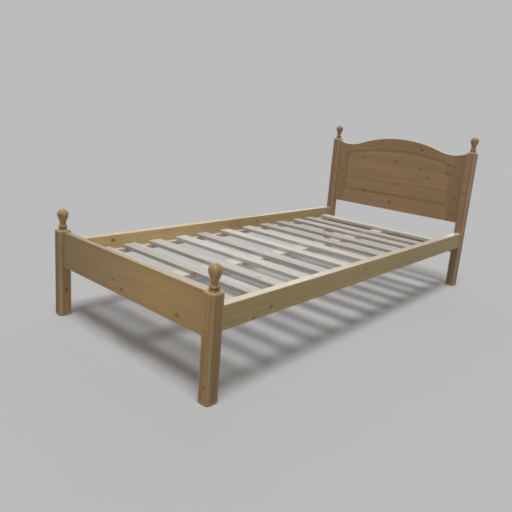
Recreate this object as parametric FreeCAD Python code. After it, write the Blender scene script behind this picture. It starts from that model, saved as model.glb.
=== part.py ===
import FreeCAD, Part
import math
import os

# A single pine bedstead. X runs across the bed, +Y to the head end, +Z up, and the origin is on the
# floor in the middle of the four posts. All lengths are in millimetres.

V = FreeCAD.Vector
os.makedirs("parts", exist_ok=True)

# Mattress that the frame holds
mattress_width = 900.0
mattress_length = 2000.0
mattress_side_gap = 4.5
mattress_end_gap = 1.5

# Corner posts
post_size = 54.0
post_arris_radius = 14.0
post_top_radius = 8.0
post_toe_chamfer = 4.0
foot_post_height = 380.5
head_post_height = 815.0

# Turned finials, each with a spigot that is glued into its post
spigot_radius = 8.0
spigot_length = 28.0
spigot_chamfer = 1.5
spigot_fit = 0.1
spigot_end_gap = 1.0
finial_foot_radius = 18.5
finial_foot_height = 4.5
finial_groove_radius = 14.2
finial_groove_height = 3.0
finial_bead_radius = 18.2
finial_bead_height = 12.5
finial_neck_radius = 12.3
finial_neck_curve = 30.0
finial_cone_slope_share = 0.38
finial_swell_curve = 26.0
finial_ball_radius = 23.2
finial_ball_level = 64.5

# Side rails
rail_thickness = 34.0
rail_height = 87.0
rail_underside = 244.0
rail_inset = 8.5
rail_arris_radius = 3.0

# Foot board
foot_board_thickness = 22.0
foot_board_height = 152.5
foot_board_drop = 5.0
foot_board_inset = 12.0
foot_board_arris_radius = 2.5

# Headboard, a frame of stiles and rails round a raised and fielded panel
headboard_thickness = 22.0
headboard_inset = 14.0
headboard_underside = 389.0
crest_rise = 37.0
dip_drop = 27.0
end_drop = 10.0
dip_from_post = 85.0
headboard_arris_radius = 6.0
headboard_toe_radius = 3.0
stile_width = 70.0
bottom_rail_height = 84.0
top_rail_depth = 75.0
opening_arch_radius = 1390.0
groove_setback = 4.0
groove_width = 8.0
groove_depth = 11.0
tongue_depth = 10.0
tongue_side_gap = 0.2
panel_field_setback = 0.8
panel_back_setback = 5.0
panel_bevel_width = 22.0
panel_bevel_lift = 0.8
panel_edge_gap = 0.3
tenon_length = 30.0
tenon_shoulder = 14.0
tenon_gap = 0.2
mortise_spare = 1.0

# Slats, the ledges that carry their ends and the beam under their middle
slat_width = 68.0
slat_thickness = 18.0
slat_end_gap = 5.0
slat_arris_radius = 2.0
slat_place_shares = (
    0.0, 0.0567, 0.1322, 0.2082, 0.2942, 0.3681, 0.4604,
    0.5528, 0.6361, 0.7164, 0.8024, 0.8720, 0.9723,
)
ledge_width = 22.0
ledge_height = 21.0
ledge_end_gap = 3.0
ledge_arris_radius = 1.5
beam_width = 68.0
beam_thickness = 21.0
beam_foot_gap = 2.0
beam_notch_gap = 0.3
beam_arris_radius = 1.5
cross_rail_height = 60.0
cross_rail_arris_radius = 2.0
cleat_length = 160.0
cleat_depth = 30.0
cleat_height = 18.0
cleat_arris_radius = 1.5

# Beech dowels that join the boards to the posts
dowel_radius = 5.0
dowel_in_post = 16.0
dowel_in_board = 25.0
dowel_chamfer = 1.0
dowel_end_gap = 1.0
foot_dowel_edge = 32.0
headboard_dowel_edge = 45.0
cross_dowel_edge = 15.0

# Bolts and barrel nuts that hold the side rails to the posts, and the caps over the bolts
bolt_pitch = 51.0
bolt_radius = 4.0
bolt_length = 100.0
bolt_head_radius = 6.5
bolt_head_height = 8.0
bolt_chamfer = 0.8
bolt_socket_radius = 3.4
bolt_socket_depth = 4.0
bolt_fit = 0.5
bolt_end_room = 4.0
counterbore_radius = 7.2
counterbore_depth = 12.0
nut_radius = 7.0
nut_length = 20.0
nut_setback = 50.0
nut_fit = 0.1
nut_bore_room = 1.0
cap_thickness = 3.0
cap_setback = 0.3
cap_chamfer = 0.8

# How far every cut runs past the piece that it cuts
cut_overrun = 40.0

# Places worked out from the sizes above
inner_width = mattress_width + 2 * mattress_side_gap
inner_length = mattress_length + 2 * mattress_end_gap
post_half = post_size / 2
rail_in = inner_width / 2
rail_out = rail_in + rail_thickness
post_x = rail_out + rail_inset - post_half
post_y = (inner_length - headboard_inset + foot_board_inset + foot_board_thickness) / 2
post_inner_x = post_x - post_half
post_inner_y = post_y - post_half
post_outer_y = post_y + post_half
rail_mid_x = (rail_in + rail_out) / 2
rail_mid_z = rail_underside + rail_height / 2
bolt_levels = (rail_mid_z - bolt_pitch / 2, rail_mid_z + bolt_pitch / 2)
foot_board_front = foot_board_inset - post_outer_y
foot_board_back = foot_board_front + foot_board_thickness
foot_board_mid_y = (foot_board_front + foot_board_back) / 2
foot_board_top = foot_post_height - foot_board_drop
foot_board_underside = foot_board_top - foot_board_height
headboard_front = post_inner_y + headboard_inset
headboard_back = headboard_front + headboard_thickness
headboard_mid_y = (headboard_front + headboard_back) / 2
slat_underside = rail_underside + ledge_height
slat_length = inner_width - 2 * slat_end_gap
beam_underside = slat_underside - beam_thickness

# Shape of the headboard's top edge: one crest arc between two dip arcs, tangent to both
crest_z = head_post_height + crest_rise
dip_z = head_post_height - dip_drop
end_z = head_post_height - end_drop
end_rise = end_z - dip_z
dip_x = post_inner_x - dip_from_post
dip_radius = (end_rise ** 2 + dip_from_post ** 2) / (2 * end_rise)
dip_centre_z = dip_z + dip_radius
centre_step = dip_centre_z - crest_z
crest_radius = (dip_x ** 2 + centre_step ** 2 - dip_radius ** 2) / (2 * (dip_radius - centre_step))
crest_centre_z = crest_z - crest_radius
meet_share = crest_radius / (crest_radius + dip_radius)
meet_x = meet_share * dip_x
meet_z = crest_centre_z + meet_share * (dip_centre_z - crest_centre_z)

# Opening of the headboard's frame
opening_half = post_inner_x - stile_width
opening_bottom = headboard_underside + bottom_rail_height
opening_crest = crest_z - top_rail_depth
opening_arch_centre = opening_crest - opening_arch_radius
opening_corner = opening_arch_centre + math.sqrt(opening_arch_radius ** 2 - opening_half ** 2)
groove_front = headboard_front + groove_setback
groove_back = groove_front + groove_width
groove_bottom = opening_bottom - groove_depth

# The slats lie between the two ends of the ledges
ledge_half = post_inner_y - ledge_end_gap
slat_range_half = ledge_half - slat_width / 2


def box(x0, x1, y0, y1, z0, z1):
    return Part.makeBox(x1 - x0, y1 - y0, z1 - z0, V(x0, y0, z0))


def rod(start, direction, length, radius):
    return Part.makeCylinder(radius, length, start, direction)


def line_edge(start, end):
    return Part.LineSegment(start, end).toShape()


def arc_edge(start, middle, end):
    return Part.Arc(start, middle, end).toShape()


def turned(outline, place, way):
    # A round solid from its half outline, given as pairs of a radius and a distance along the way
    points = [V(radius, 0, along) for radius, along in outline]
    solid = Part.Face(Part.makePolygon(points + points[:1])).revolve(V(0, 0, 0), V(0, 0, 1), 360)
    solid.Placement = FreeCAD.Placement(place, FreeCAD.Rotation(V(0, 0, 1), way))
    return solid


def long_edges(shape, axis):
    # The straight edges of a bar that run along one axis
    found = []
    for edge in shape.Edges:
        if len(edge.Vertexes) < 2:
            continue
        step = edge.Vertexes[-1].Point.sub(edge.Vertexes[0].Point)
        across = step.sub(axis * step.dot(axis))
        if across.Length < edge.Length / 1000:
            found.append(edge)
    return found


def level_edges(shape, level):
    # The edges that lie in the level plane at this height
    def lies(edge):
        box_of_edge = edge.BoundBox
        tall = shape.BoundBox.DiagonalLength / 100000
        return abs(box_of_edge.ZMin - level) < tall and abs(box_of_edge.ZMax - level) < tall
    return [edge for edge in shape.Edges if lies(edge)]


def eased_bar(x0, x1, y0, y1, z0, z1, axis, radius):
    # A straight bar with its four long arrises rounded
    bar = box(x0, x1, y0, y1, z0, z1)
    return bar.makeFillet(radius, long_edges(bar, axis))


def mirrored(shape):
    return shape.mirror(V(0, 0, 0), V(1, 0, 0))


def save(name, shape):
    if not shape.isValid():
        print("not valid:", name)
    shape.exportStep("parts/" + name + ".step")
    print(name, len(shape.Solids), "solids", round(shape.Volume), "mm3")


def save_pair(name, shape):
    # The shape stands on the right, and its mirror image on the left
    save(name + "_right", shape)
    save(name + "_left", mirrored(shape))


def save_group(name, shapes):
    save(name, Part.makeCompound(shapes))


def both_sides(shapes):
    return shapes + [mirrored(shape) for shape in shapes]


# Levels of the dowels in each board
def levels_between(low, high, count):
    step = (high - low) / (count - 1)
    return [low + step * i for i in range(count)]


foot_dowel_levels = levels_between(
    foot_board_underside + foot_dowel_edge, foot_board_top - foot_dowel_edge, 3)
headboard_dowel_levels = levels_between(
    headboard_underside + headboard_dowel_edge, end_z - headboard_dowel_edge, 3)
cross_dowel_levels = levels_between(
    slat_underside - cross_rail_height + cross_dowel_edge, slat_underside - cross_dowel_edge, 2)


def dowel(y, z):
    # Lies across the joint between the right post and its board
    length = dowel_in_board + dowel_in_post
    tip = dowel_radius - dowel_chamfer
    outline = [(0, 0), (tip, 0), (dowel_radius, dowel_chamfer), (dowel_radius, length - dowel_chamfer),
               (tip, length), (0, length)]
    return turned(outline, V(post_inner_x - dowel_in_board, y, z), V(1, 0, 0))


def dowel_bore(y, z):
    # The dowel is glued in tight, with a little room past each end
    start = V(post_inner_x - dowel_in_board - dowel_end_gap, y, z)
    return rod(start, V(1, 0, 0), dowel_in_board + dowel_in_post + 2 * dowel_end_gap, dowel_radius)


def bolt_place(end, level):
    # Where the bolt's head seats, and the way that the bolt runs: end is -1 at the foot, 1 at the head
    return V(rail_mid_x, end * (post_outer_y - counterbore_depth), level), V(0, -end, 0)


def bolt_bores(end):
    # Everything that the two bolts of one right corner need cut from the post and the rail
    cuts = []
    for level in bolt_levels:
        seat, way = bolt_place(end, level)
        cuts.append(rod(seat, way, bolt_length + bolt_end_room, bolt_radius + bolt_fit))
        cuts.append(rod(seat, way * -1, counterbore_depth + cut_overrun, counterbore_radius))
    return cuts


def finial_profile(base):
    # Half outline of the turning, from the spigot's foot to the tip, in the plane of X and Z
    def at(radius, level):
        return V(radius, 0, base + level)

    def curve(centre_radius, centre_level, radius, start, end):
        # An arc about a centre, from one angle to another, counted from outwards
        points = []
        for angle in (start, (start + end) / 2, end):
            points.append(at(centre_radius + radius * math.cos(angle), centre_level + radius * math.sin(angle)))
        return Part.Arc(*points).toShape()

    # The ball: its upper half is round, and below it a swell runs into a cone, all tangent
    lean = math.atan(finial_cone_slope_share)
    swell_centre = finial_ball_radius - finial_swell_curve
    cone_top = at(swell_centre + finial_swell_curve * math.cos(lean),
                  finial_ball_level - finial_swell_curve * math.sin(lean))

    # The neck: a short straight length, then a hollow curve into the cone
    cone_foot = cone_top.z - base - (cone_top.x - finial_neck_radius) / finial_cone_slope_share
    neck_top = cone_foot - finial_neck_curve * math.tan(lean / 2)
    hollow = curve(finial_neck_radius + finial_neck_curve, neck_top, finial_neck_curve,
                   math.pi, math.pi - lean)
    hollow_end = at(finial_neck_radius + finial_neck_curve * (1 - math.cos(lean)),
                    neck_top + finial_neck_curve * math.sin(lean))

    # The foot: a round-edged disc on the post, a groove, and a bead under the neck
    foot_round = finial_foot_height / 2
    foot_centre = finial_foot_radius - foot_round
    bead_foot = finial_foot_height + finial_groove_height
    bead_top = bead_foot + finial_bead_height
    bead_mid = bead_foot + finial_bead_height / 2
    corners = [
        at(0, -spigot_length),
        at(spigot_radius - spigot_chamfer, -spigot_length),
        at(spigot_radius, spigot_chamfer - spigot_length),
        at(spigot_radius, 0),
        at(foot_centre, 0),
    ]
    edges = [line_edge(a, b) for a, b in zip(corners, corners[1:])]
    edges += [
        curve(foot_centre, foot_round, foot_round, -math.pi / 2, math.pi / 2),
        line_edge(at(foot_centre, finial_foot_height), at(finial_groove_radius, finial_foot_height)),
        line_edge(at(finial_groove_radius, finial_foot_height), at(finial_groove_radius, bead_foot)),
        arc_edge(at(finial_groove_radius, bead_foot), at(finial_bead_radius, bead_mid),
                 at(finial_neck_radius, bead_top)),
        line_edge(at(finial_neck_radius, bead_top), at(finial_neck_radius, neck_top)),
        hollow,
        line_edge(hollow_end, cone_top),
        curve(swell_centre, finial_ball_level, finial_swell_curve, -lean, 0),
        curve(0, finial_ball_level, finial_ball_radius, 0, math.pi / 2),
        line_edge(at(0, finial_ball_level + finial_ball_radius), corners[0]),
    ]
    return Part.Wire(edges)


def finial(end, base):
    turning = Part.Face(finial_profile(base)).revolve(V(0, 0, 0), V(0, 0, 1), 360)
    turning.translate(V(post_x, end * post_y, 0))
    return turning


def post(end, height, dowel_y, dowel_levels):
    bar = box(post_inner_x, post_x + post_half, end * post_y - post_half, end * post_y + post_half, 0, height)
    bar = bar.makeFillet(post_arris_radius, long_edges(bar, V(0, 0, 1)))
    bar = bar.makeFillet(post_top_radius, level_edges(bar, height))
    bar = bar.makeChamfer(post_toe_chamfer, level_edges(bar, 0))
    socket = rod(V(post_x, end * post_y, height + cut_overrun), V(0, 0, -1),
                 cut_overrun + spigot_length + spigot_end_gap, spigot_radius + spigot_fit)
    bores = [dowel_bore(dowel_y, level) for level in dowel_levels]
    return bar.cut([socket] + bolt_bores(end) + bores)


def nut_axis(end):
    return end * (post_inner_y - nut_setback)


def side_rail():
    bar = eased_bar(rail_in, rail_out, -post_inner_y, post_inner_y,
                    rail_underside, rail_underside + rail_height, V(0, 1, 0), rail_arris_radius)
    bores = bolt_bores(-1) + bolt_bores(1)
    depth = (rail_thickness + nut_length) / 2 + nut_bore_room
    for end in (-1, 1):
        for level in bolt_levels:
            mouth = V(rail_in - cut_overrun, nut_axis(end), level)
            bores.append(rod(mouth, V(1, 0, 0), cut_overrun + depth, nut_radius + nut_fit))
    return bar.cut(bores)


def bolt(end, level):
    # The head seats at the bottom of the counterbore, and a round socket stands for its drive
    seat, way = bolt_place(end, level)
    socket_floor = bolt_socket_depth - bolt_head_height
    outline = [
        (0, socket_floor),
        (bolt_socket_radius, socket_floor),
        (bolt_socket_radius, -bolt_head_height),
        (bolt_head_radius - bolt_chamfer, -bolt_head_height),
        (bolt_head_radius, bolt_chamfer - bolt_head_height),
        (bolt_head_radius, 0),
        (bolt_radius, 0),
        (bolt_radius, bolt_length - bolt_chamfer),
        (bolt_radius - bolt_chamfer, bolt_length),
        (0, bolt_length),
    ]
    return turned(outline, seat, way)


def barrel_nut(end, level):
    # Its cross hole is tapped for the bolt, so the two touch there
    body = rod(V(rail_mid_x - nut_length / 2, nut_axis(end), level), V(1, 0, 0), nut_length, nut_radius)
    seat, way = bolt_place(end, level)
    return body.cut(rod(seat, way, bolt_length + bolt_end_room, bolt_radius))


def bolt_cap(end, level):
    # A wooden disc pressed into the mouth of the counterbore
    face = V(rail_mid_x, end * (post_outer_y - cap_setback), level)
    outline = [(0, 0), (counterbore_radius - cap_chamfer, 0), (counterbore_radius, cap_chamfer),
               (counterbore_radius, cap_thickness), (0, cap_thickness)]
    return turned(outline, face, V(0, -end, 0))


def foot_board():
    bar = eased_bar(-post_inner_x, post_inner_x, foot_board_front, foot_board_back,
                    foot_board_underside, foot_board_top, V(1, 0, 0), foot_board_arris_radius)
    return bar.cut(both_sides([dowel_bore(foot_board_mid_y, level) for level in foot_dowel_levels]))


def headboard_outline():
    # Front outline of the whole headboard, in the plane of its front face
    def at(x, z):
        return V(x, headboard_front, z)

    def on_dip(x):
        return dip_centre_z - math.sqrt(dip_radius ** 2 - (x - dip_x) ** 2)
    half = post_inner_x
    right = [at(half, end_z), at(dip_x, dip_z), at(meet_x, meet_z)]
    left = [at(-meet_x, meet_z), at(-dip_x, dip_z), at(-half, end_z)]
    middle_x = (dip_x + half) / 2
    turn_x = (dip_x + meet_x) / 2
    edges = [
        line_edge(at(-half, headboard_underside), at(half, headboard_underside)),
        line_edge(at(half, headboard_underside), right[0]),
        arc_edge(right[0], at(middle_x, on_dip(middle_x)), right[1]),
        arc_edge(right[1], at(turn_x, on_dip(turn_x)), right[2]),
        arc_edge(right[2], at(0, crest_z), left[0]),
        arc_edge(left[0], at(-turn_x, on_dip(turn_x)), left[1]),
        arc_edge(left[1], at(-middle_x, on_dip(middle_x)), left[2]),
        line_edge(left[2], at(-half, headboard_underside)),
    ]
    return Part.Wire(edges)


def opening_outline(y, grow, bottom):
    # The frame's opening, arched at the top, made larger at the sides and top by grow
    half = opening_half + grow
    radius = opening_arch_radius + grow
    corner = opening_arch_centre + math.sqrt(radius ** 2 - half ** 2)
    points = [V(-half, y, bottom), V(half, y, bottom), V(half, y, corner), V(-half, y, corner)]
    crest = V(0, y, opening_crest + grow)
    return Part.Wire([
        line_edge(points[0], points[1]),
        line_edge(points[1], points[2]),
        arc_edge(points[2], crest, points[3]),
        line_edge(points[3], points[0]),
    ])


def opening_solid(front, back, grow, bottom):
    return Part.Face(opening_outline(front, grow, bottom)).extrude(V(0, back - front, 0))


def headboard_frame():
    # The four frame pieces in one, with the opening and the panel's groove cut out
    board = Part.Face(headboard_outline()).extrude(V(0, headboard_thickness, 0))
    arched = [edge for edge in board.Edges if isinstance(edge.Curve, Part.Circle)]
    board = board.makeFillet(headboard_arris_radius, arched)
    board = board.makeFillet(headboard_toe_radius, long_edges(board, V(1, 0, 0)))
    opening = opening_solid(headboard_front - cut_overrun, headboard_back + cut_overrun, 0, opening_bottom)
    groove = opening_solid(groove_front, groove_back, groove_depth, groove_bottom)
    return board.cut([opening, groove])


def tenon(low, high):
    # On the right end of a rail, a little thinner than the groove
    return box(opening_half, opening_half + tenon_length, groove_front + tenon_gap, groove_back - tenon_gap,
               low, high)


def mortise(low, high):
    return box(opening_half - cut_overrun, opening_half + tenon_length + mortise_spare,
               groove_front, groove_back, low - tenon_gap, high + tenon_gap)


def headboard_pieces(frame):
    # The frame cut into its right stile, its bottom rail and its top rail
    bottom_tenon = (headboard_underside + tenon_shoulder, groove_bottom - tenon_gap)
    top_tenon = (opening_corner + groove_depth + tenon_gap, dip_z - tenon_shoulder)
    front = headboard_front - cut_overrun
    back = headboard_back + cut_overrun
    ceiling = crest_z + cut_overrun
    stile = frame.common(box(opening_half, post_inner_x, front, back, 0, ceiling))
    bores = [dowel_bore(headboard_mid_y, level) for level in headboard_dowel_levels]
    stile = stile.cut([mortise(*bottom_tenon), mortise(*top_tenon)] + bores)
    bottom = frame.common(box(-opening_half, opening_half, front, back, 0, opening_bottom))
    top = frame.common(box(-opening_half, opening_half, front, back, opening_corner, ceiling))
    bottom = bottom.fuse(both_sides([tenon(*bottom_tenon)])).removeSplitter()
    top = top.fuse(both_sides([tenon(*top_tenon)])).removeSplitter()
    return stile, bottom, top


def headboard_panel():
    # A tongue that stands in the frame's groove, and a field raised from it by a bevel
    tongue_front = groove_front + tongue_side_gap
    tongue_back = groove_back - tongue_side_gap
    field_front = headboard_front + panel_field_setback
    field_back = headboard_back - panel_back_setback
    field_bottom = opening_bottom + panel_bevel_width
    tongue = opening_solid(tongue_front, tongue_back, tongue_depth, groove_bottom)
    outer = opening_outline(tongue_front, -panel_edge_gap, opening_bottom + panel_edge_gap)
    inner = opening_outline(field_front + panel_bevel_lift, -panel_bevel_width, field_bottom)
    bevel = Part.makeLoft([outer, inner], True, True)
    field = opening_solid(field_front, field_back, -panel_bevel_width, field_bottom)
    return tongue.fuse([bevel, field]).removeSplitter()


def head_cross_rail():
    # Carries the head end of the beam in a notch
    bottom = slat_underside - cross_rail_height
    bar = eased_bar(-post_inner_x, post_inner_x, headboard_front, headboard_back,
                    bottom, slat_underside, V(1, 0, 0), cross_rail_arris_radius)
    half = beam_width / 2 + beam_notch_gap
    notch = box(-half, half, headboard_front - cut_overrun, headboard_back + cut_overrun,
                beam_underside, slat_underside + cut_overrun)
    bores = [dowel_bore(headboard_mid_y, level) for level in cross_dowel_levels]
    return bar.cut([notch] + both_sides(bores))


def slat(y):
    half_length = slat_length / 2
    half_width = slat_width / 2
    return eased_bar(-half_length, half_length, y - half_width, y + half_width,
                     slat_underside, slat_underside + slat_thickness, V(1, 0, 0), slat_arris_radius)


# Posts and finials
save_pair("foot_post", post(-1, foot_post_height, foot_board_mid_y, foot_dowel_levels))
save_pair("head_post", post(1, head_post_height, headboard_mid_y,
                            headboard_dowel_levels + cross_dowel_levels))
save_pair("foot_finial", finial(-1, foot_post_height))
save_pair("head_finial", finial(1, head_post_height))

# Boards at the two ends
save("foot_board", foot_board())
stile_piece, bottom_piece, top_piece = headboard_pieces(headboard_frame())
save_pair("headboard_stile", stile_piece)
save("headboard_bottom_rail", bottom_piece)
save("headboard_top_rail", top_piece)
save("headboard_panel", headboard_panel())
save("head_cross_rail", head_cross_rail())

# Side rails and what carries the slats
save_pair("side_rail", side_rail())
save_pair("slat_ledge", eased_bar(rail_in - ledge_width, rail_in, -ledge_half, ledge_half,
                                  rail_underside, slat_underside, V(0, 1, 0), ledge_arris_radius))
save("centre_beam", eased_bar(-beam_width / 2, beam_width / 2,
                              foot_board_back + beam_foot_gap, headboard_back,
                              beam_underside, slat_underside, V(0, 1, 0), beam_arris_radius))
save("beam_cleat", eased_bar(-cleat_length / 2, cleat_length / 2,
                             foot_board_back, foot_board_back + cleat_depth,
                             beam_underside - cleat_height, beam_underside, V(1, 0, 0), cleat_arris_radius))
for number, place_share in enumerate(slat_place_shares, start=1):
    save("slat_%02d" % number, slat(slat_range_half * (2 * place_share - 1)))

# Dowels, bolts, nuts and caps
save_group("foot_board_dowels", both_sides([dowel(foot_board_mid_y, z) for z in foot_dowel_levels]))
save_group("headboard_dowels", both_sides([dowel(headboard_mid_y, z) for z in headboard_dowel_levels]))
save_group("cross_rail_dowels", both_sides([dowel(headboard_mid_y, z) for z in cross_dowel_levels]))
for end, end_name in ((-1, "foot"), (1, "head")):
    bolts = [bolt(end, level) for level in bolt_levels]
    save_group(end_name + "_bolts_right", bolts)
    save_group(end_name + "_bolts_left", [mirrored(piece) for piece in bolts])
    save_group(end_name + "_bolt_caps", both_sides([bolt_cap(end, level) for level in bolt_levels]))
nuts = [barrel_nut(end, level) for end in (-1, 1) for level in bolt_levels]
save_group("barrel_nuts_right", nuts)
save_group("barrel_nuts_left", [mirrored(piece) for piece in nuts])
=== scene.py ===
import math

import bpy
from mathutils import Matrix, Vector


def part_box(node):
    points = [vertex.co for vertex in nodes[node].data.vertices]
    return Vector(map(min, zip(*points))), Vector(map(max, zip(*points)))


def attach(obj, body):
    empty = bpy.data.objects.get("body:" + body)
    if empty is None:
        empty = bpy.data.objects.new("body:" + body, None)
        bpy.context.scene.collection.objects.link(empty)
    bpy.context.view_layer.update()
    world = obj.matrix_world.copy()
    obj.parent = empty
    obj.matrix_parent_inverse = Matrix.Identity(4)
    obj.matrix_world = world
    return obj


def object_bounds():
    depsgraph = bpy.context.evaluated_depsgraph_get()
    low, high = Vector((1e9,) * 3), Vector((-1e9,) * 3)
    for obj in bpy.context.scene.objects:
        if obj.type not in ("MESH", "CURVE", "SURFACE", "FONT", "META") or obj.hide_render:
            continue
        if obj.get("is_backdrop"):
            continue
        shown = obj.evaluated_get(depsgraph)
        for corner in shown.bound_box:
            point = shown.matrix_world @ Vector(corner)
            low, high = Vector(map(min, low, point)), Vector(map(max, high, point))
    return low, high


# A single bedstead in clear-varnished pine with unvarnished slats, in metres, +Y to the head end

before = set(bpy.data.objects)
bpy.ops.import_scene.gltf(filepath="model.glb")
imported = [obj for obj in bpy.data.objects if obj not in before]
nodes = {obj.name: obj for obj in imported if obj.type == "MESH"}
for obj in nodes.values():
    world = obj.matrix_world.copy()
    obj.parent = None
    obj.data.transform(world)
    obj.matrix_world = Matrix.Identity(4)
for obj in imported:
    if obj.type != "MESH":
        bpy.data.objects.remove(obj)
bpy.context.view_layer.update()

MM = 0.001
X, Y, Z = 0, 1, 2


class Value:
    """A number or colour inside a node tree: plain arithmetic on it adds its nodes."""

    def __init__(self, finish, socket):
        self.finish = finish
        self.socket = socket

    def other(self, output):
        """Another output of the same node."""
        return Value(self.finish, self.socket.node.outputs[output])

    def __add__(self, other):
        return self.finish.maths("ADD", self, other)

    def __sub__(self, other):
        return self.finish.maths("SUBTRACT", self, other)

    def __rsub__(self, other):
        return self.finish.maths("SUBTRACT", other, self)

    def __mul__(self, other):
        return self.finish.maths("MULTIPLY", self, other)

    def __truediv__(self, other):
        return self.finish.maths("DIVIDE", self, other)

    def __pow__(self, other):
        return self.finish.maths("POWER", self, other)

    def __abs__(self):
        return self.finish.maths("ABSOLUTE", self)


class Finish:
    """The nodes of one material, or of the sky, while they are being built."""

    def __init__(self, owner):
        owner.use_nodes = True
        self.owner = owner
        self.tree = owner.node_tree
        self.tree.nodes.clear()
        self.place = self.node("ShaderNodeTexCoord", output="Object")

    def node(self, kind, settings=(), inputs=(), output=0):
        """Adds a node with its settings, and with values or links at its inputs."""
        made = self.tree.nodes.new(kind)
        for name, value in dict(settings).items():
            setattr(made, name, value)
        for name, value in dict(inputs).items():
            if isinstance(value, Value):
                self.tree.links.new(value.socket, made.inputs[name])
            else:
                made.inputs[name].default_value = value
        return Value(self, made.outputs[output])

    def maths(self, operation, *values):
        return self.node("ShaderNodeMath", {"operation": operation}, enumerate(values))

    def vector(self, operation, *values, output=0):
        return self.node("ShaderNodeVectorMath", {"operation": operation}, enumerate(values), output)

    def point(self, x, y, z):
        return self.node("ShaderNodeCombineXYZ", inputs={X: x, Y: y, Z: z})

    def split(self, vector):
        """The three parts of a vector."""
        first = self.node("ShaderNodeSeparateXYZ", inputs={0: vector})
        return [first, first.other(1), first.other(2)]

    def noise(self, place, scale=1.0, detail=2.0, roughness=0.5):
        settings = {"Vector": place, "Scale": scale, "Detail": detail, "Roughness": roughness}
        return self.node("ShaderNodeTexNoise", inputs=settings)

    def step(self, value, start, end, low=0.0, high=1.0):
        """Low at start and high at end, eased between them; start may be larger than end."""
        inputs = {"Value": value, "From Min": start, "From Max": end, "To Min": low, "To Max": high}
        return self.node("ShaderNodeMapRange", {"interpolation_type": "SMOOTHSTEP"}, inputs)

    def blend(self, share, first, second):
        """Two colours mixed by a share."""
        settings = {"data_type": "RGBA", "blend_type": "MIX", "clamp_factor": True}
        return self.node("ShaderNodeMix", settings, {0: share, 6: first, 7: second}, output=2)

    def bump(self, height, depth, strength):
        settings = {"Height": height, "Distance": depth, "Strength": strength}
        return self.node("ShaderNodeBump", inputs=settings)

    def end(self, kind, shader):
        last = self.tree.nodes.new(kind)
        self.tree.links.new(shader.socket, last.inputs["Surface"])

    def surface(self, colour, roughness, normal=None, **others):
        """Ends a material. Other inputs of its shader go by their names in small letters."""
        inputs = {"Base Color": colour, "Roughness": roughness}
        if normal is not None:
            inputs["Normal"] = normal
        for name, value in others.items():
            inputs[name.replace("_", " ").title().replace("Ior", "IOR")] = value
        self.end("ShaderNodeOutputMaterial", self.node("ShaderNodeBsdfPrincipled", inputs=inputs))
        return self.owner


def rgb(red, green, blue):
    return (red, green, blue, 1.0)


# Woods: pale and dark growth, arrises paled by wear and by a painted highlight, level tops with a painted
# sheen, knots, their rims and the warm halos round them, how strongly rings, bands and fibres show, and the
# varnish
BOARD = {
    "pale": rgb(0.48, 0.305, 0.112),
    "dark": rgb(0.33, 0.185, 0.058),
    "edge": rgb(0.57, 0.43, 0.25),
    "top": rgb(0.62, 0.54, 0.43),
    "knot": rgb(0.24, 0.10, 0.028),
    "rim": rgb(0.13, 0.048, 0.012),
    "halo": rgb(0.34, 0.165, 0.050),
    "ring_share": 0.30,
    "band_share": 0.40,
    "fibre_share": 0.18,
    "roughness": 0.42,
    "coat": 0.35,
}
POST = dict(BOARD, pale=rgb(0.50, 0.305, 0.120), dark=rgb(0.27, 0.135, 0.046), edge=rgb(0.60, 0.43, 0.22),
            ring_share=0.36, band_share=0.62)
FAR_POST = dict(POST, pale=rgb(0.51, 0.330, 0.150), dark=rgb(0.275, 0.150, 0.062))
HEAD_KNOT = {
    "knot": rgb(0.25, 0.125, 0.050),
    "rim": rgb(0.15, 0.070, 0.027),
    "halo": rgb(0.35, 0.195, 0.082),
}
HEAD_POST = dict(POST, pale=rgb(0.45, 0.290, 0.158), dark=rgb(0.27, 0.152, 0.076), band_share=0.5,
                 **HEAD_KNOT)
TURNED = dict(POST, pale=rgb(0.55, 0.365, 0.160), dark=rgb(0.22, 0.115, 0.042), ring_share=0.55)
HEAD_TURNED = dict(TURNED, pale=rgb(0.45, 0.315, 0.200), dark=rgb(0.22, 0.135, 0.078))
RAIL = dict(BOARD, pale=rgb(0.50, 0.37, 0.152), dark=rgb(0.34, 0.22, 0.080), top=rgb(0.70, 0.63, 0.52),
            band_share=0.46)
FAR_RAIL = dict(RAIL, pale=rgb(0.50, 0.375, 0.19), dark=rgb(0.35, 0.24, 0.11))
FOOT = dict(BOARD, top=rgb(0.44, 0.35, 0.24))
HEAD = dict(BOARD, pale=rgb(0.475, 0.315, 0.160), dark=rgb(0.335, 0.200, 0.092), **HEAD_KNOT)
BARE = {
    "pale": rgb(0.70, 0.665, 0.62),
    "dark": rgb(0.53, 0.465, 0.39),
    "edge": rgb(0.76, 0.73, 0.68),
    "top": rgb(0.72, 0.69, 0.64),
    "knot": rgb(0.34, 0.17, 0.08),
    "rim": rgb(0.16, 0.075, 0.035),
    "halo": rgb(0.52, 0.37, 0.24),
    "ring_share": 0.40,
    "band_share": 0.56,
    "fibre_share": 0.34,
    "roughness": 0.66,
    "coat": 0.0,
}
BEECH = dict(BARE, pale=rgb(0.58, 0.40, 0.25), dark=rgb(0.46, 0.29, 0.16), ring_share=0.12)

# Growth rings, and the heart line that they circle: how far it wanders, and how fast across and along
ring_spacing = 3.4 * MM
ring_sharpness = 2.2
heart_reach = 45 * MM
heart_scales = (7.0, 1.1)
seed_factors = (1.0, 1.7, 0.6)

# Bands of rings, fibres and clouds of tone. Two scales are one across the grain and one along it
band_scales = (26.0, 0.9)
band_fineness = 95.0
band_range = (0.34, 0.68)
fibre_scales = (900.0, 14.0)
cloud_scale = 3.0
cloud_share = 0.22

# Strips of a glued-up board: how far their growth is shifted and how much their tones differ
strip_shift = 3.1
strip_share = 0.10

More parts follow.
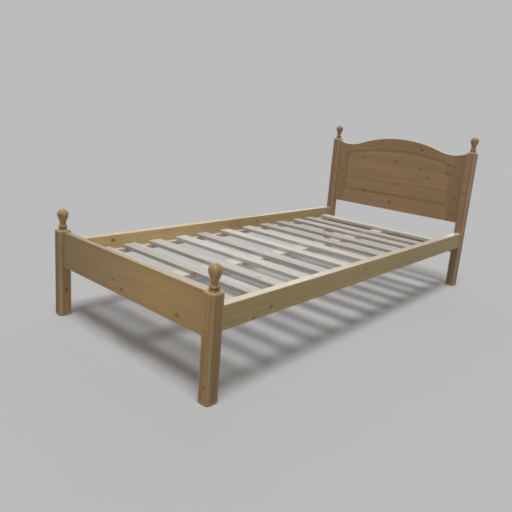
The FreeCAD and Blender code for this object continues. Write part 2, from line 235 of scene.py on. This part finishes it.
# Knots: how far they bend the rings and how soon that fades, their length along the grain, and their size
# against the radius given for them
knot_bend = 7.0 * MM
knot_fading = 0.22
knot_stretch = 1.35
knot_size = 0.75

# Parts of a knot, in knot radii from its middle, and how strongly each shows
halo_range = (2.6, 1.0)
halo_share = 0.50
heart_range = (1.06, 0.90)
heart_share = 0.80
rim_middle = 0.98
rim_range = (0.20, 0.04)
rim_share = 0.55
year_rate = 21.0
year_share = 0.25

# Arrises paled by wear and by a painted highlight: their width in arris radii, and how far they show
# everywhere and where the clouds are
wear_and_highlight_width = 1.1
wear_and_highlight_share = 0.30
wear_and_highlight_cloud = 0.6

# How far under a board's top its painted sheen begins and is full, the dark lines of glue seams, and the
# painted shade lines at joints
top_begin = 3.0 * MM
top_full = 0.5 * MM
line_range = (0.9 * MM, 0.2 * MM)
line_share = 0.45

# Relief and roughness of the surface
ring_relief = 0.35
fibre_relief = 0.65
rim_relief = 0.9
relief_depth = 0.25 * MM
relief_strength = 0.55
fibre_rough = 0.16
band_rough = 0.08
rim_rough = 0.15
rough_drop = 0.10


def grain_scales(grain, across, along):
    """One scale for each axis, with its own value along the grain."""
    return tuple(along if axis == grain else across for axis in (X, Y, Z))


def ring_distance(finish, growth, grain, seed, pith):
    """Distance from the tree's heart line, which runs beside the board and wanders along it."""
    across = [axis for axis in (X, Y, Z) if axis != grain]
    offset = tuple(seed * factor for factor in seed_factors)
    wander = finish.vector("MULTIPLY_ADD", finish.point(*growth), grain_scales(grain, *heart_scales), offset)
    wobble = (finish.noise(wander) - 0.5) * heart_reach
    first = growth[across[0]] - pith[0]
    second = growth[across[1]] - pith[1]
    return (first * first + second * second) ** 0.5 + wobble


def nearest_knot(finish, grain, knots):
    """How many knot radii away the nearest knot is."""
    near = None
    for through, first, second, radius in knots:
        stretch = list(grain_scales(grain, 1.0, 1.0 / knot_stretch))
        stretch[through] = 0.0
        spot = [first, second]
        spot.insert(through, 0.0)
        spot = tuple(part * scale for part, scale in zip(spot, stretch))
        flat = finish.vector("MULTIPLY", finish.place, tuple(stretch))
        far = finish.vector("DISTANCE", flat, spot, output="Value") / (radius * knot_size)
        near = far if near is None else finish.maths("MINIMUM", near, far)
    return near


def edge_distance(finish, local, half):
    """Distance from the nearest arris of a straight board."""
    gaps = [half[axis] - abs(local[axis]) for axis in (X, Y, Z)]
    low = finish.maths("MINIMUM", gaps[0], gaps[1])
    high = finish.maths("MAXIMUM", gaps[0], gaps[1])
    return finish.maths("MAXIMUM", low, finish.maths("MINIMUM", high, gaps[2]))


def thin_line(finish, distance):
    """1 along a seam or a joint, from the distance to it."""
    return finish.step(abs(distance), *line_range)


def glued_strips(finish, local, grain, strip, seed):
    """The growth of a board that is glued up from strips, each strip's tone, and the seams between them."""
    number = finish.maths("FLOOR", local[Z] / strip + 0.5)
    chance = finish.node("ShaderNodeTexWhiteNoise", {"noise_dimensions": "1D"}, {"W": number + seed})
    height = local[Z] - number * strip
    growth = list(local)
    growth[Z] = height + (chance - 0.5) * strip
    growth[grain] = local[grain] + number * strip_shift
    strip_tone = chance * strip_share + (1.0 - strip_share / 2)
    return growth, strip_tone, thin_line(finish, abs(height) - strip / 2)


def with_knots(finish, near, colour, wood):
    """The colour with its knots in it, and 1 on the knots' rims."""
    year = finish.maths("SINE", near * year_rate) * year_share + 0.5
    heart = finish.blend(year, wood["knot"], wood["halo"])
    rim = finish.step(abs(near - rim_middle), *rim_range)
    colour = finish.blend(finish.step(near, *halo_range) * halo_share, colour, wood["halo"])
    colour = finish.blend(finish.step(near, *heart_range) * heart_share, colour, heart)
    return finish.blend(rim * rim_share, colour, wood["rim"]), rim


def wooden(node, grain, wood, seed, pith=(0.004, 0.045), knots=(), joint=(), strip=0.0, tone=1.0,
           arris_radius=3 * MM, painted_top_sheen=(), bands=(), darker=()):
    """Gives a node its wood: rings, bands, fibres, knots, arrises paled by wear and a painted highlight, and
    joint lines of painted shade.

    grain: the axis that the grain runs along
    seed: any number, which makes the board's growth its own
    pith: the heart line's distance from the board's middle, in the two directions across the grain
    knots: each (axis it runs along, its place on the other two axes, radius)
    joint: (axis, distance from the bed's middle) of the joint lines at the board's ends, lines of painted
    shade
    strip: width of the strips of a glued-up board
    painted_top_sheen: the shares by which the level top gets a painted sheen and a glossier coat, at the low
    end of the grain and at the high end; a negative share makes it duller
    bands: each (mask, share, tint), for another tint where mask(finish, x, z) is 1; the bands in use are
    stain with painted shade, and a painted highlight
    darker: each (axis, start, end, share), for a colour that darkens by the share from start to end, or
    grows paler where the share is negative; on several pieces it is painted shade and painted highlight
    """
    finish = Finish(bpy.data.materials.new("wood_" + node))
    low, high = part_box(node)
    half = (high - low) / 2
    place = finish.split(finish.place)
    local = finish.split(finish.vector("SUBTRACT", finish.place, tuple((low + high) / 2)))
    growth = local
    if strip:
        growth, strip_tone, seam = glued_strips(finish, local, grain, strip, seed)
    distance = ring_distance(finish, growth, grain, seed, pith)
    if knots:
        near = nearest_knot(finish, grain, knots)
        distance = distance + finish.maths("EXPONENT", near * near * -knot_fading) * knot_bend
    ring = (finish.maths("SINE", distance * (2 * math.pi / ring_spacing)) * 0.5 + 0.5) ** ring_sharpness

    # Bands of rings that grew slowly are darker, and fine fibres run along the grain. The vector along goes
    # into the bands' noise as the mean of its three parts
    grown = finish.point(*growth)
    along = finish.vector("MULTIPLY_ADD", grown, grain_scales(grain, *band_scales), (seed, seed, seed))
    streaks = finish.noise(finish.point(distance * band_fineness, along, seed), detail=3.0, roughness=0.6)
    band = finish.step(streaks, *band_range)
    fibre = finish.noise(finish.vector("MULTIPLY", grown, grain_scales(grain, *fibre_scales)), detail=1.0)
    cloud = finish.noise(finish.vector("MULTIPLY", finish.place, (cloud_scale, cloud_scale, cloud_scale)))
    dark = ring * wood["ring_share"] + band * wood["band_share"] + (fibre - 0.5) * wood["fibre_share"]
    colour = finish.blend(dark, wood["pale"], wood["dark"])

    # The tone changes softly over the board, from strip to strip, and where it is said to be darker or
    # paler; on some pieces that is painted shade and painted highlight
    shade = (cloud * cloud_share + (1.0 - cloud_share / 2)) * tone
    if strip:
        shade = shade * strip_tone
    for axis, start, end, share in darker:
        shade = shade * (1.0 - finish.step(place[axis], start, end) * share)
    colour = finish.node("ShaderNodeVectorMath", {"operation": "SCALE"}, {0: colour, 3: shade})

    # Arrises paled by wear and a painted highlight, level tops with a painted sheen and a glossier coat,
    # tinted bands, seams, knots and the joint line of painted shade
    wear_and_highlight = finish.step(edge_distance(finish, local, half), arris_radius * wear_and_highlight_width, 0.0)
    colour = finish.blend(wear_and_highlight * (cloud * wear_and_highlight_cloud + wear_and_highlight_share), colour, wood["edge"])
    coat = wood["coat"]
    # The painted sheen pales the level top, and the coat there grows glossier with it
    if painted_top_sheen:
        first, last = painted_top_sheen
        level = finish.step(local[Z], half.z - top_begin, half.z - top_full)
        paler = level * (local[grain] * ((last - first) / (2 * half[grain])) + (first + last) / 2)
        colour = finish.blend(paler, colour, wood["top"])
        coat = finish.maths("MINIMUM", paler + wood["coat"], 1.0)
    for mask, share, tint in bands:
        colour = finish.blend(mask(finish, place[X], place[Z]) * share, colour, wood[tint])
    if strip:
        colour = finish.blend(seam * line_share, colour, wood["dark"])
    relief = ring * ring_relief + fibre * fibre_relief
    rough = fibre * fibre_rough + band * band_rough + (wood["roughness"] - rough_drop)
    if knots:
        colour, rim = with_knots(finish, near, colour, wood)
        relief = relief - rim * rim_relief
        rough = rough + rim * rim_rough
    # The joint line is painted shade, dark in the crack where the board meets the next part
    if joint:
        axis, end = joint
        line = thin_line(finish, abs(place[axis]) - end)
        colour = finish.blend(line * line_share, colour, wood["rim"])
    normal = finish.bump(relief, relief_depth, relief_strength)
    dress(node, finish.surface(colour, rough, normal, coat_weight=coat, coat_roughness=0.36,
                               specular_ior_level=0.25))


def dress(node, material):
    for slot in nodes[node].material_slots:
        slot.material = material


# Steel: the tint of its dull patches, and how much rougher they and the scratches are
dull_steel = rgb(0.42, 0.41, 0.38)
cloud_rough = 0.18
scratch_rough = 0.12
scratch_scales = (2600.0, 300.0, 2600.0)


def steel(name, colour, roughness):
    """Zinc-plated steel with a cloudy, finely scratched surface."""
    finish = Finish(bpy.data.materials.new(name))
    cloud = finish.noise(finish.place, scale=240.0, detail=3.0, roughness=0.6)
    scratch = finish.noise(finish.vector("MULTIPLY", finish.place, scratch_scales), detail=1.0)
    tint = finish.blend(cloud, colour, dull_steel)
    rough = cloud * cloud_rough + scratch * scratch_rough + roughness
    normal = finish.bump(scratch + cloud, depth=0.05 * MM, strength=0.4)
    return finish.surface(tint, rough, normal, metallic=1.0)


# Places that the boards meet at, read from the model
post_low, post_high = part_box("foot_post_right")
post_inner_x = post_low.x
post_inner_y = -post_high.y
stile_low, stile_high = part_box("headboard_stile_right")
opening_half_x = stile_low.x
opening_bottom_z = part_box("headboard_bottom_rail")[1].z
top_rail_low, top_rail_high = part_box("headboard_top_rail")

# Posts: square pine with the grain upright and well rounded arrises. On posts, boards and rails the knots
# and the darker and paler stretches follow the photograph where it shows their faces
post_arris = 14 * MM
# Right foot post: painted shade darkens its outer side and a painted highlight pales the outer half of its
# front face
wooden("foot_post_right", Z, POST, seed=3.1, pith=(0.041, 0.018), arris_radius=post_arris,
       knots=[(X, -1.008, 0.118, 8 * MM), (Y, 0.478, 0.061, 4 * MM)],
       darker=[(X, 0.476, 0.492, 0.46), (Z, 0.24, 0.02, 0.10), (Z, 0.20, 0.30, -0.10),
               (X, 0.458, 0.472, -0.16)])
# Left foot post: a painted highlight pales its inner side and the arris next to it
wooden("foot_post_left", Z, FAR_POST, seed=8.4, pith=(-0.034, 0.030), arris_radius=post_arris, tone=0.52,
       knots=[(X, -1.011, 0.118, 7 * MM), (Y, -0.476, 0.196, 4 * MM), (X, -1.030, 0.305, 4 * MM)],
       darker=[(X, -0.468, -0.450, -0.45), (X, -0.4480, -0.4436, -0.34)])
# Right head post: painted shade darkens its lower part and its outer side, and a painted highlight pales its
# inner arris
wooden("head_post_right", Z, HEAD_POST, seed=12.7, pith=(0.038, -0.024), arris_radius=post_arris,
       knots=[(Y, 0.470, 0.570, 7 * MM), (X, 1.006, 0.705, 6 * MM), (X, 1.018, 0.148, 5 * MM)],
       darker=[(Z, 0.34, 0.20, 0.30), (X, 0.478, 0.494, 0.28), (X, 0.451, 0.444, -0.35)])
wooden("head_post_left", Z, HEAD_POST, seed=17.9, pith=(-0.030, -0.036), arris_radius=post_arris, tone=0.92,
       knots=[(Y, -0.462, 0.602, 7 * MM), (X, 1.004, 0.493, 6 * MM)])

# Turned finials: a band of painted shade darkens the groove between the collar and the bead
spigot_length = 28 * MM
groove_height = 6 * MM
groove_half = 2.5 * MM
groove_core = 1 * MM
for node, wood, seed, pith in (
    ("foot_finial_right", TURNED, 21.3, (0.016, 0.010)),
    ("foot_finial_left", TURNED, 24.6, (-0.012, 0.018)),
    ("head_finial_right", HEAD_TURNED, 27.2, (0.010, -0.020)),
    ("head_finial_left", HEAD_TURNED, 31.5, (-0.018, -0.008)),
):
    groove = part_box(node)[0].z + spigot_length + groove_height
    wooden(node, Z, wood, seed, pith=pith,
           darker=[(Z, groove + groove_half, groove + groove_core, 0.45),
                   (Z, groove - groove_core, groove - groove_half, -0.80)])

# Foot board and side rails, with the grain along them
board_joint = (X, post_inner_x)
rail_joint = (Y, post_inner_y)
# Foot board: a painted sheen pales its top towards the right end, painted shade darkens its top all along,
# and it grows darker towards the left end
wooden("foot_board", X, FOOT, seed=5.2, pith=(0.052, 0.012), joint=board_joint, tone=1.12,
       painted_top_sheen=(-0.33, 0.34), darker=[(X, 0.25, -0.42, 0.38), (Z, 0.3720, 0.3745, 0.24)],
       knots=[(Y, -0.062, 0.272, 6 * MM), (Y, -0.006, 0.250, 7 * MM), (Y, 0.318, 0.253, 8 * MM),
              (Y, -0.335, 0.334, 4 * MM)])
# Right side rail: painted shade lowers its tone, and a painted sheen lies on its top, strongest at the head
# end
wooden("side_rail_right", Y, RAIL, seed=9.9, pith=(0.030, 0.036), joint=rail_joint, tone=0.87,
       painted_top_sheen=(0.44, 1.0), darker=[(Y, -0.20, 0.60, 0.10)],
       knots=[(X, -0.838, 0.253, 6 * MM), (X, -0.751, 0.274, 7 * MM), (X, -0.120, 0.301, 5 * MM),
              (X, 0.415, 0.268, 6 * MM)])
# Left side rail: painted light raises its tone and pales its inner face further, standing for light thrown
# on it by the slats; a painted sheen lies on its top towards the head end, and a duller coat towards the
# foot
wooden("side_rail_left", Y, FAR_RAIL, seed=14.3, pith=(-0.034, 0.028), joint=rail_joint, tone=1.25,
       painted_top_sheen=(-0.25, 0.22),
       darker=[(Y, -0.30, 0.05, 0.26), (Y, 0.10, 0.35, -0.10), (Y, 0.60, 0.90, 0.20),
               (X, -0.466, -0.457, -0.33)],
       knots=[(X, -0.780, 0.306, 7 * MM), (X, 0.200, 0.300, 6 * MM), (X, -0.310, 0.262, 5 * MM)])

# The arch over the headboard's panel, and the panel's bevelled border: from where to where it shows, and
# how its stain and painted shade grow from left to right and upwards
top_rail_depth = 75 * MM
panel_bevel = 22 * MM
bevel_range = (panel_bevel * 1.05, panel_bevel * 0.7)
right_range = (-0.30, 0.25)
left_share = 0.2
high_range = (0.47, 0.56)
bottom_share = 0.4
arch_rise = top_rail_high.z - top_rail_depth - top_rail_low.z
arch_radius = (opening_half_x ** 2 + arch_rise ** 2) / (2 * arch_rise)


def bevel_band(finish, x, z):
    """1 on the sloping border of the panel: a band of stain and painted shade, stronger to the right and
    higher up.
    """
    height = z - (top_rail_low.z + arch_rise - arch_radius)
    from_arch = arch_radius - (x * x + height * height) ** 0.5
    from_side = opening_half_x - abs(x)
    edge = finish.maths("MINIMUM", finish.maths("MINIMUM", from_arch, from_side), z - opening_bottom_z)
    to_right = finish.step(x, *right_range, low=left_share)
    upwards = finish.step(z, *high_range, low=bottom_share)
    return finish.step(edge, *bevel_range) * to_right * upwards


# The headboard's curved top edge: a crest between two dips, tangent where they meet; a painted highlight
# runs along it
crest_z = top_rail_high.z
end_z = stile_high.z
dip_x = post_inner_x - 85 * MM
dip_z = 788 * MM
dip_radius = ((end_z - dip_z) ** 2 + (post_inner_x - dip_x) ** 2) / (2 * (end_z - dip_z))
dip_centre_z = dip_z + dip_radius
centre_step = dip_centre_z - crest_z
crest_radius = (dip_x ** 2 + centre_step ** 2 - dip_radius ** 2) / (2 * (dip_radius - centre_step))
meet_x = dip_x * crest_radius / (crest_radius + dip_radius)
edge_range = (4.5 * MM, 1.0 * MM)


def top_line(finish, x, z):
    """1 on the headboard's curved top edge, where a painted highlight lies."""
    height = z - (crest_z - crest_radius)
    under_crest = crest_radius - (x * x + height * height) ** 0.5
    from_dip = abs(x) - dip_x
    drop = z - dip_centre_z
    under_dip = (from_dip * from_dip + drop * drop) ** 0.5 - dip_radius
    beyond = finish.maths("GREATER_THAN", abs(x), meet_x)
    return finish.step(under_crest + (under_dip - under_crest) * beyond, *edge_range)


# Headboard: the frame's pieces and the panel, which is glued up from strips
frame_joint = (X, opening_half_x)
# A painted highlight along the curved top edge of the stiles and the top rail
painted_edge_highlight = [(top_line, 0.8, "top")]
wooden("headboard_stile_right", Z, HEAD, seed=2.2, pith=(0.012, 0.050), joint=frame_joint, tone=0.80,
       bands=painted_edge_highlight,
       knots=[(Y, 0.410, 0.533, 8 * MM), (Y, 0.398, 0.432, 8 * MM), (Y, 0.384, 0.722, 6 * MM)])
wooden("headboard_stile_left", Z, HEAD, seed=6.8, pith=(-0.016, 0.046), joint=frame_joint, tone=0.86,
       bands=painted_edge_highlight,
       knots=[(Y, -0.408, 0.612, 6 * MM)])
wooden("headboard_bottom_rail", X, HEAD, seed=11.6, pith=(0.048, 0.008), joint=frame_joint,
       knots=[(Y, -0.012, 0.437, 9 * MM), (Y, 0.236, 0.412, 4 * MM)])
wooden("headboard_top_rail", X, HEAD, seed=16.1, pith=(0.044, -0.060), joint=frame_joint, tone=0.88,
       bands=painted_edge_highlight,
       knots=[(Y, -0.125, 0.825, 7 * MM), (Y, 0.160, 0.797, 9 * MM)])
wooden("headboard_panel", X, HEAD, seed=19.4, pith=(0.040, 0.010), strip=96 * MM, tone=1.03,
       bands=[(bevel_band, 0.30, "halo")],
       knots=[(Y, -0.235, 0.709, 9 * MM), (Y, 0.000, 0.703, 9 * MM), (Y, 0.172, 0.680, 8 * MM),
              (Y, 0.222, 0.632, 9 * MM), (Y, 0.025, 0.565, 9 * MM), (Y, -0.215, 0.487, 9 * MM),
              (Y, 0.345, 0.675, 12 * MM), (Y, 0.343, 0.720, 9 * MM), (Y, -0.020, 0.595, 4 * MM)])

# Unvarnished slats: knots on top (x, radius) and in the front edge (x, z, radius), and a tone for each.
# Only the tones and the knot in a front edge are the photograph's. The knots on top lie nearer the head
# end on odd slats, and each slat has its own heart line
slats = ["slat_%02d" % number for number in range(1, 14)]
top_knots = {
    3: (-0.190, 5 * MM), 4: (0.262, 6 * MM), 6: (-0.305, 6 * MM), 7: (0.105, 5 * MM),
    9: (0.330, 6 * MM), 10: (-0.080, 5 * MM), 12: (0.214, 6 * MM),
}
front_knots = {3: (0.060, 0.2735, 5.5 * MM)}
slat_tones = (1.00, 0.95, 0.93, 0.91, 1.08, 0.91, 1.08, 1.10, 0.90, 0.82, 0.88, 0.87, 1.02)
for number, (name, tone) in enumerate(zip(slats, slat_tones), start=1):
    low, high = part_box(name)
    knots = []
    if number in top_knots:
        along, radius = top_knots[number]
        across = 0.7 if number % 2 else 0.3
        knots.append((Z, along, low.y + (high.y - low.y) * across, radius))
    if number in front_knots:
        knots.append((Y, *front_knots[number]))
    pith = (0.010 * (number % 3 - 1), -0.034 - 0.004 * (number % 4))
    wooden(name, X, BARE, seed=1.7 * number, pith=pith, knots=knots, tone=tone)

# Beam, ledges and cleat, unvarnished too, and the cross rail
wooden("centre_beam", Y, BARE, seed=33.7, pith=(0.012, -0.040), tone=1.2,
       knots=[(Z, 0.012, -0.350, 6 * MM), (Z, -0.015, 0.480, 5 * MM)])
wooden("slat_ledge_right", Y, BARE, seed=36.1, pith=(0.020, -0.020))
wooden("slat_ledge_left", Y, BARE, seed=38.8, pith=(-0.020, -0.024))
wooden("beam_cleat", X, BARE, seed=41.2, pith=(0.015, 0.020))
wooden("head_cross_rail", X, HEAD, seed=44.5, pith=(0.030, 0.014), joint=board_joint, tone=0.7,
       knots=[(Y, -0.246, 0.232, 6 * MM)])

# Dowels, caps, bolts and nuts
for node in ("foot_board_dowels", "headboard_dowels", "cross_rail_dowels"):
    wooden(node, X, BEECH, seed=47.0)
for node in ("foot_bolt_caps", "head_bolt_caps"):
    wooden(node, Z, BOARD, seed=51.0, tone=1.22, darker=[(X, 0.2, -0.4, 0.40)])
bright_steel = steel("bright_zinc", rgb(0.66, 0.67, 0.68), roughness=0.26)
yellow_steel = steel("yellow_zinc", rgb(0.72, 0.60, 0.34), roughness=0.28)
for node in ("foot_bolts_right", "foot_bolts_left", "head_bolts_right", "head_bolts_left",
             "barrel_nuts_right", "barrel_nuts_left"):
    dress(node, bright_steel)


def deselect():
    if bpy.context.object and bpy.context.object.mode != "OBJECT":
        bpy.ops.object.mode_set(mode="OBJECT")
    bpy.ops.object.select_all(action="DESELECT")


# Screws: a flat head with a bevelled rim and a cross recess, turned further from one to the next
screw_radius = 4.0 * MM
screw_height = 1.6 * MM
screw_bevel = 0.3 * MM
screw_proud = 0.4 * MM
screw_turn = 0.7
recess_length = 4.6 * MM
recess_width = 1.1 * MM
recess_depth = 0.9 * MM


def screw_head():
    """One screw head at the origin with its top towards +Z."""
    deselect()
    bpy.ops.mesh.primitive_cylinder_add(vertices=32, radius=screw_radius, depth=screw_height)
    head = bpy.context.object
    bpy.ops.object.mode_set(mode="EDIT")
    bpy.ops.mesh.select_all(action="SELECT")
    bpy.ops.mesh.bevel(offset=screw_bevel, segments=2, affect="EDGES")
    bpy.ops.object.mode_set(mode="OBJECT")
    for turn in (0.0, math.pi / 2):
        deselect()
        bpy.ops.mesh.primitive_cube_add(size=1.0, location=(0, 0, screw_height / 2))
        cutter = bpy.context.object
        cutter.scale = (recess_length, recess_width, 2 * recess_depth)
        cutter.rotation_euler = (0, 0, turn)
        bpy.ops.object.transform_apply(location=True, rotation=True, scale=True)
        cut = head.modifiers.new("recess", "BOOLEAN")
        cut.operation = "DIFFERENCE"
        cut.solver = "EXACT"
        cut.object = cutter
        deselect()
        head.select_set(True)
        bpy.context.view_layer.objects.active = head
        bpy.ops.object.modifier_apply(modifier="recess")
        bpy.data.objects.remove(cutter)
    return head


def place_screws(name, pattern, spots, way):
    """Copies the screw head to each spot, joined as one piece. The way is where the heads look."""
    turn = Vector((0, 0, 1)).rotation_difference(Vector(way)).to_matrix().to_4x4()
    sunk = Matrix.Translation((0, 0, screw_proud - screw_height / 2))
    copies = []
    for number, spot in enumerate(spots):
        copy = pattern.copy()
        copy.data = pattern.data.copy()
        bpy.context.collection.objects.link(copy)
        drive = Matrix.Rotation(screw_turn * number, 4, "Z")
        copy.data.transform(Matrix.Translation(spot) @ turn @ sunk @ drive)
        copies.append(copy)
    deselect()
    for copy in copies:
        copy.select_set(True)
    bpy.context.view_layer.objects.active = copies[0]
    bpy.ops.object.join()
    screws = bpy.context.object
    screws.name = name
    screws.data.materials.clear()
    screws.data.materials.append(yellow_steel)
    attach(screws, "root")


# Two screws to a slat, seven to a ledge and two in the cleat
pattern = screw_head()
slat_edge = 10.0 * MM
slat_spots = []
for name in slats:
    low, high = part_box(name)
    for side in (low.x + slat_edge, high.x - slat_edge):
        slat_spots.append(Vector((side, (low.y + high.y) / 2, high.z)))
place_screws("slat_screws", pattern, slat_spots, (0, 0, 1))
ledge_pitch = 275.0 * MM
for side, name in ((1, "right"), (-1, "left")):
    low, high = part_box("slat_ledge_" + name)
    face = low.x if side > 0 else high.x
    spots = [Vector((face, ledge_pitch * step, (low.z + high.z) / 2)) for step in range(-3, 4)]
    place_screws("ledge_screws_" + name, pattern, spots, (-side, 0, 0))
low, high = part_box("beam_cleat")
cleat_edge = 25 * MM
spots = [Vector((x, high.y, (low.z + high.z) / 2)) for x in (low.x + cleat_edge, high.x - cleat_edge)]
place_screws("cleat_screws", pattern, spots, (0, 1, 0))
bpy.data.objects.remove(pattern)

# Floor, a plain pale sheet that keeps the shadow
floor_size = 80.0
mottle_share = 0.12
deselect()
bpy.ops.mesh.primitive_plane_add(size=floor_size)
floor = bpy.context.object
floor.name = "floor"
floor_finish = Finish(bpy.data.materials.new("pale_floor"))
mottle = floor_finish.noise(floor_finish.place, scale=3.0, detail=4.0, roughness=0.6)
floor_tint = floor_finish.blend(mottle * mottle_share, rgb(0.60, 0.60, 0.60), rgb(0.56, 0.56, 0.56))
floor.data.materials.append(floor_finish.surface(floor_tint, roughness=0.8, specular_ior_level=0.0))
floor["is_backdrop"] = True

# Sky: it lights evenly, shows as a pale grey backdrop, and mirrors brighter further up
sky_strength = 0.22
white = rgb(1, 1, 1)
backdrop = rgb(0.5, 0.5, 0.5)
world = bpy.data.worlds.new("studio")
bpy.context.scene.world = world
sky = Finish(world)
upwards = sky.split(sky.place.other("Generated"))[Z]
mirrored_strength = sky.step(upwards, 0.0, 0.25, low=0.5, high=1.3)
lighting, shown, mirrored = [
    sky.node("ShaderNodeBackground", inputs={"Color": colour, "Strength": strength})
    for colour, strength in ((white, sky_strength), (backdrop, 1.0), (white, mirrored_strength))
]
path = sky.node("ShaderNodeLightPath", output="Is Camera Ray")
bounced = sky.maths("MAXIMUM", path.other("Is Glossy Ray"), path.other("Is Transmission Ray"))
direct = sky.node("ShaderNodeMixShader", inputs={0: path, 1: lighting, 2: shown})
seen = sky.node("ShaderNodeMixShader", inputs={0: bounced, 1: direct, 2: mirrored})
sky.end("ShaderNodeOutputWorld", seen)


def lamp(name, toward, strength, spread):
    """A far, broad lamp whose light comes from the given side; its spread is in degrees."""
    data = bpy.data.lights.new(name, "SUN")
    data.energy = strength
    data.angle = math.radians(spread)
    made = bpy.data.objects.new(name, data)
    made.rotation_mode = "QUATERNION"
    made.rotation_quaternion = Vector(toward).to_track_quat("Z", "Y")
    bpy.context.collection.objects.link(made)


# Lamps: one nearly overhead, and faint ones from the right and from behind
lamp("key", toward=(0.14, -0.16, 1.0), strength=1.80, spread=24)
lamp("fill", toward=(0.9, -0.5, 0.5), strength=0.06, spread=60)
lamp("back", toward=(-0.6, 0.7, 0.5), strength=0.35, spread=60)

# Camera: its place and turn were solved from the photograph's straight edges
photo_size = 512.0
photo_focal = 505.6
photo_centre = (269.3, 235.0)
camera_place = Vector((1.5349, -2.0391, 0.9043))
camera_yaw = math.radians(40.063)
camera_pitch = math.radians(12.84)
camera_roll = math.radians(4.87)
sensor_width = 36.0
forward = Vector((-math.sin(camera_yaw) * math.cos(camera_pitch),
                  math.cos(camera_yaw) * math.cos(camera_pitch), -math.sin(camera_pitch)))
level_right = Vector((math.cos(camera_yaw), math.sin(camera_yaw), 0.0))
level_up = level_right.cross(forward)
right = math.cos(camera_roll) * level_right + math.sin(camera_roll) * level_up
up = math.cos(camera_roll) * level_up - math.sin(camera_roll) * level_right
turn = Matrix((right, up, -forward)).transposed()
camera_data = bpy.data.cameras.new("camera")
camera_data.sensor_width = sensor_width
camera_data.lens = photo_focal / photo_size * sensor_width
camera_data.shift_x = 0.5 - photo_centre[0] / photo_size
camera_data.shift_y = photo_centre[1] / photo_size - 0.5
camera = bpy.data.objects.new("camera", camera_data)
camera.matrix_world = Matrix.Translation(camera_place) @ turn.to_4x4()
bpy.context.collection.objects.link(camera)
bpy.context.scene.camera = camera
bpy.context.scene.view_settings.view_transform = "Standard"

# The box round all the shown pieces but the floor
low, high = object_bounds()
